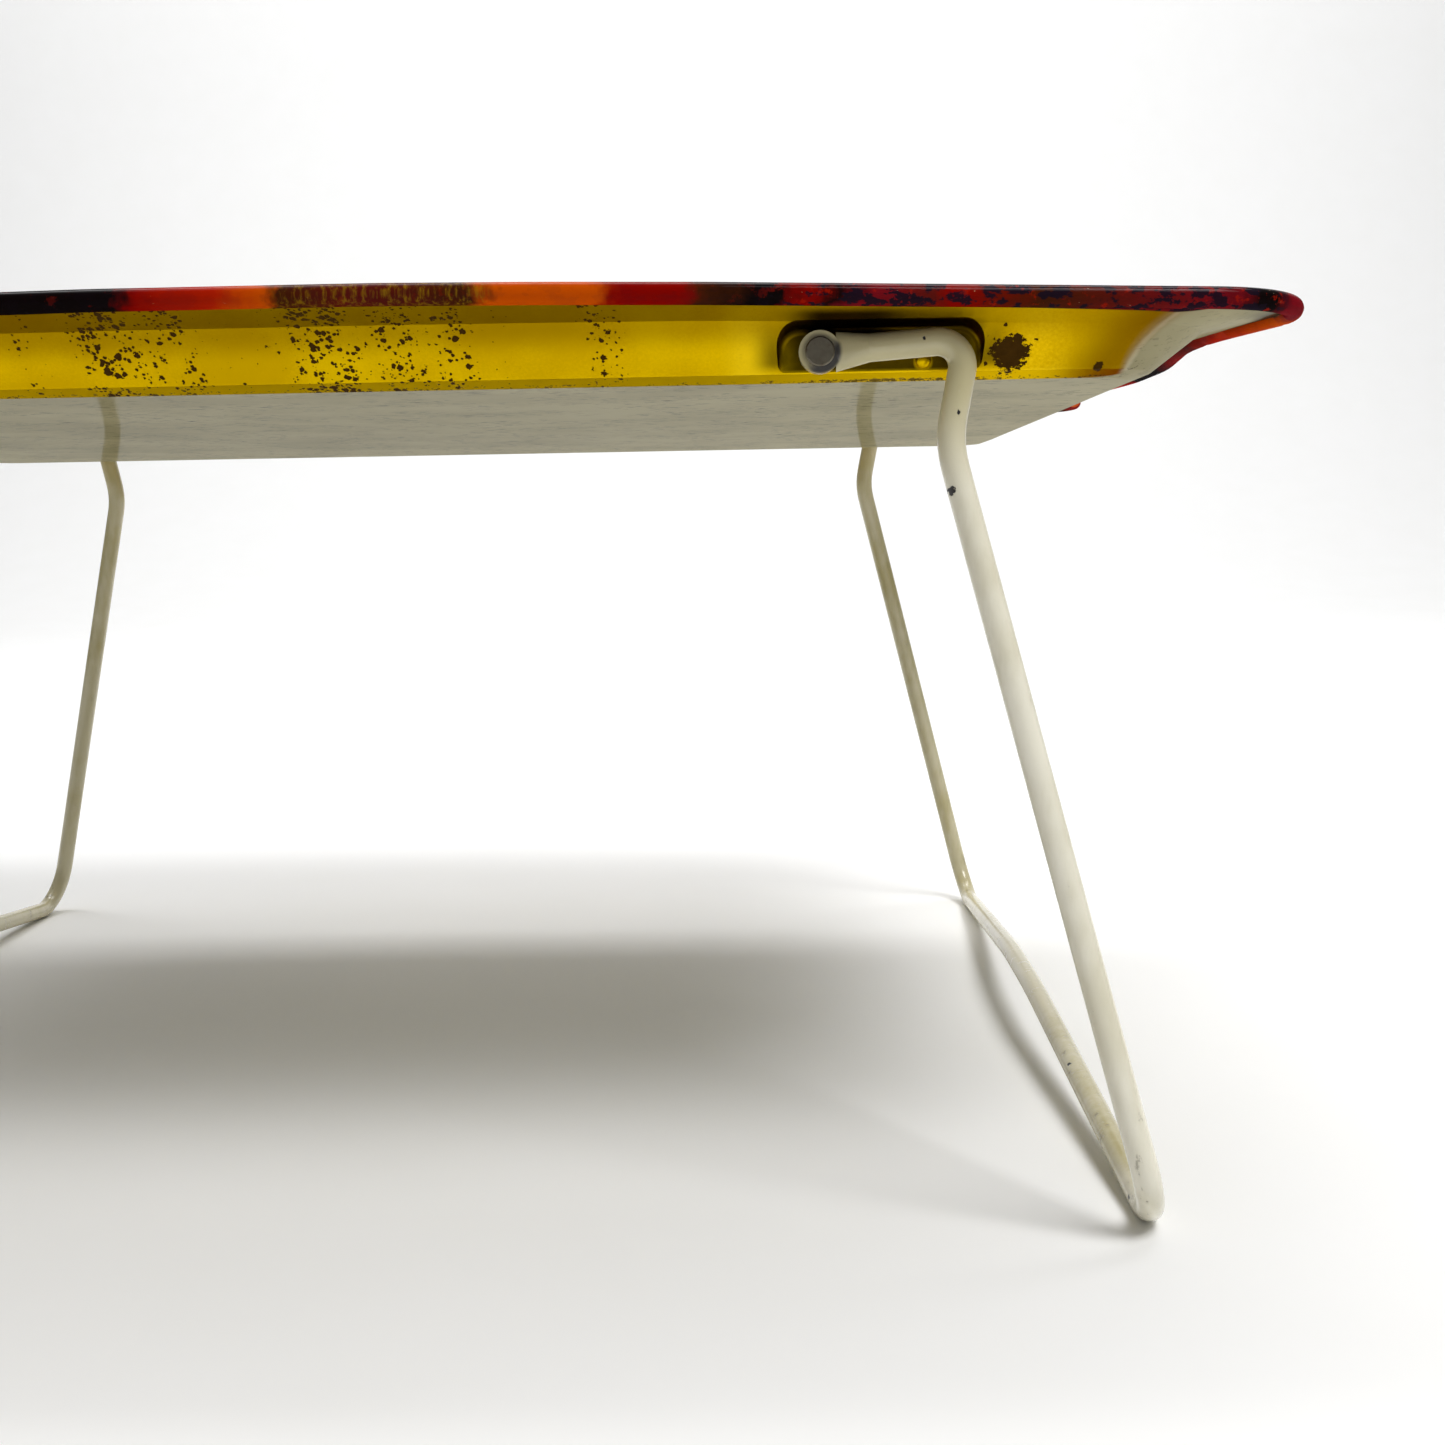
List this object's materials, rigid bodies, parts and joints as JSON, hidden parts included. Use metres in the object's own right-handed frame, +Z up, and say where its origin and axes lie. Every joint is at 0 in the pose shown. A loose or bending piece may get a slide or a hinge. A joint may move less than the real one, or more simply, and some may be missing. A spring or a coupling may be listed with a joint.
{
  "type": "folding tray table",
  "caption": "Pressed tin lap tray with a rolled rim, a bowed outline and two U-shaped legs of bent rod that fold flat under it on rivets.",
  "frame": {"origin": "on the ground under the middle of the tray, legs open", "axes": "+X along the tray's length, +Y across it away from the front long side, +Z up"},
  "size_m": [0.4516, 0.3364, 0.2017],
  "materials": {
    "lacquered_tin": "gloss lacquer over tin",
    "cream_enamel": "satin enamel",
    "rivet_steel": "dull"
  },
  "bodies": {
    "tray": {"tray_pan": "lacquered_tin", "rivet_front_right": "rivet_steel", "rivet_front_left": "rivet_steel", "rivet_back_right": "rivet_steel", "rivet_back_left": "rivet_steel", "washer_front_right": "rivet_steel", "washer_front_left": "rivet_steel", "washer_back_right": "rivet_steel", "washer_back_left": "rivet_steel"},
    "leg_right": {"leg_right": "cream_enamel"},
    "leg_left": {"leg_left": "cream_enamel"}
  },
  "joints": [
    {"name": "leg_right_fold", "type": "hinge", "parent": "tray", "child": "leg_right", "pos_m": [0.1196, 0, 0.1881], "axis": [0, 1, 0], "range_deg": [0, 107.5]},
    {"name": "leg_left_fold", "type": "hinge", "parent": "tray", "child": "leg_left", "pos_m": [-0.1196, 0, 0.1881], "axis": [0, -1, 0], "range_deg": [0, 102.5]}
  ]
}
